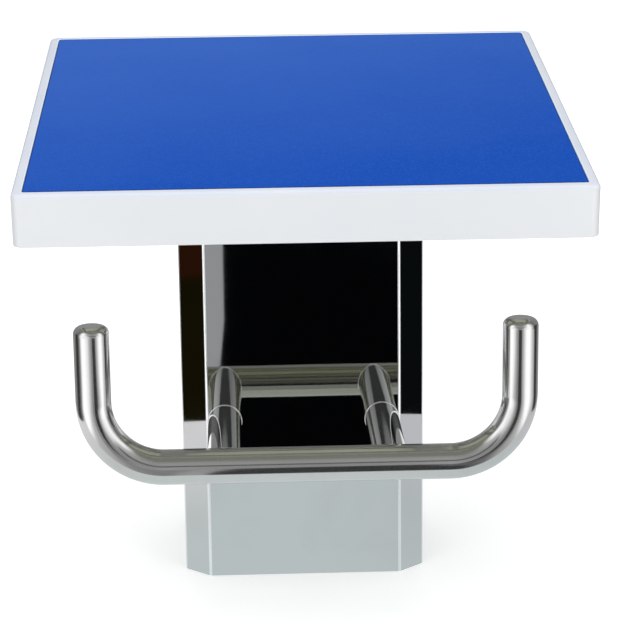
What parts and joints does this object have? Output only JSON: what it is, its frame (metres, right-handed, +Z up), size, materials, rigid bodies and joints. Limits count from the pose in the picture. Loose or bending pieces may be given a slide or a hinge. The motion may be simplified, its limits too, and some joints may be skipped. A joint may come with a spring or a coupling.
{
  "type": "swimming starting block",
  "caption": "Swimming starting block with a sloping anti-slip platform, a folded polished column and a U-shaped backstroke handle held out in front by short tubes.",
  "frame": {"origin": "middle of the column's foot, on the deck", "axes": "+Z up, -Y towards the pool, +X to the right seen from the pool"},
  "size_m": [0.5, 0.5011, 0.487],
  "materials": {
    "white_gelcoat": "smooth white gelcoat over glass fibre",
    "blue_antislip": "blue anti-slip surface with fine grit",
    "core_board": "plywood sealed with glass fibre and resin",
    "mirror_steel": "mirror-polished stainless steel sheet",
    "polished_steel": "polished stainless steel tube",
    "mill_steel": "plain stainless steel, mill finish",
    "zinc_steel": "plain stainless steel fasteners",
    "black_rubber": "black rubber sheet"
  },
  "bodies": {
    "root": {"antislip_surface": "blue_antislip", "platform_shell": "white_gelcoat", "platform_core": "core_board", "front_cross_rail": "mill_steel", "rear_cross_rail": "mill_steel", "left_side_rail": "mill_steel", "right_side_rail": "mill_steel", "head_plate": "mill_steel", "column_shell": "mirror_steel", "base_plate": "mill_steel", "handle_channel": "mill_steel", "cover_gasket": "black_rubber", "access_cover": "mirror_steel", "grab_bar": "polished_steel", "rail_screw_front_left": "zinc_steel", "rail_screw_front_middle": "zinc_steel", "rail_screw_front_right": "zinc_steel", "rail_screw_rear_left": "zinc_steel", "rail_screw_rear_middle": "zinc_steel", "rail_screw_rear_right": "zinc_steel", "post_front_left": "mill_steel", "head_bolt_front_left": "zinc_steel", "head_washer_front_left": "zinc_steel", "head_nut_front_left": "zinc_steel", "post_front_right": "mill_steel", "head_bolt_front_right": "zinc_steel", "head_washer_front_right": "zinc_steel", "head_nut_front_right": "zinc_steel", "post_rear_left": "mill_steel", "head_bolt_rear_left": "zinc_steel", "head_washer_rear_left": "zinc_steel", "head_nut_rear_left": "zinc_steel", "post_rear_right": "mill_steel", "head_bolt_rear_right": "zinc_steel", "head_washer_rear_right": "zinc_steel", "head_nut_rear_right": "zinc_steel", "cover_screw_lower_left": "zinc_steel", "cover_nut_lower_left": "zinc_steel", "cover_screw_lower_right": "zinc_steel", "cover_nut_lower_right": "zinc_steel", "cover_screw_upper_left": "zinc_steel", "cover_nut_upper_left": "zinc_steel", "cover_screw_upper_right": "zinc_steel", "cover_nut_upper_right": "zinc_steel", "end_cap_left": "polished_steel", "standoff_left": "polished_steel", "standoff_plug_left": "mill_steel", "handle_washer_left": "zinc_steel", "handle_bolt_left": "zinc_steel", "end_cap_right": "polished_steel", "standoff_right": "polished_steel", "standoff_plug_right": "mill_steel", "handle_washer_right": "zinc_steel", "handle_bolt_right": "zinc_steel"}
  },
  "joints": []
}
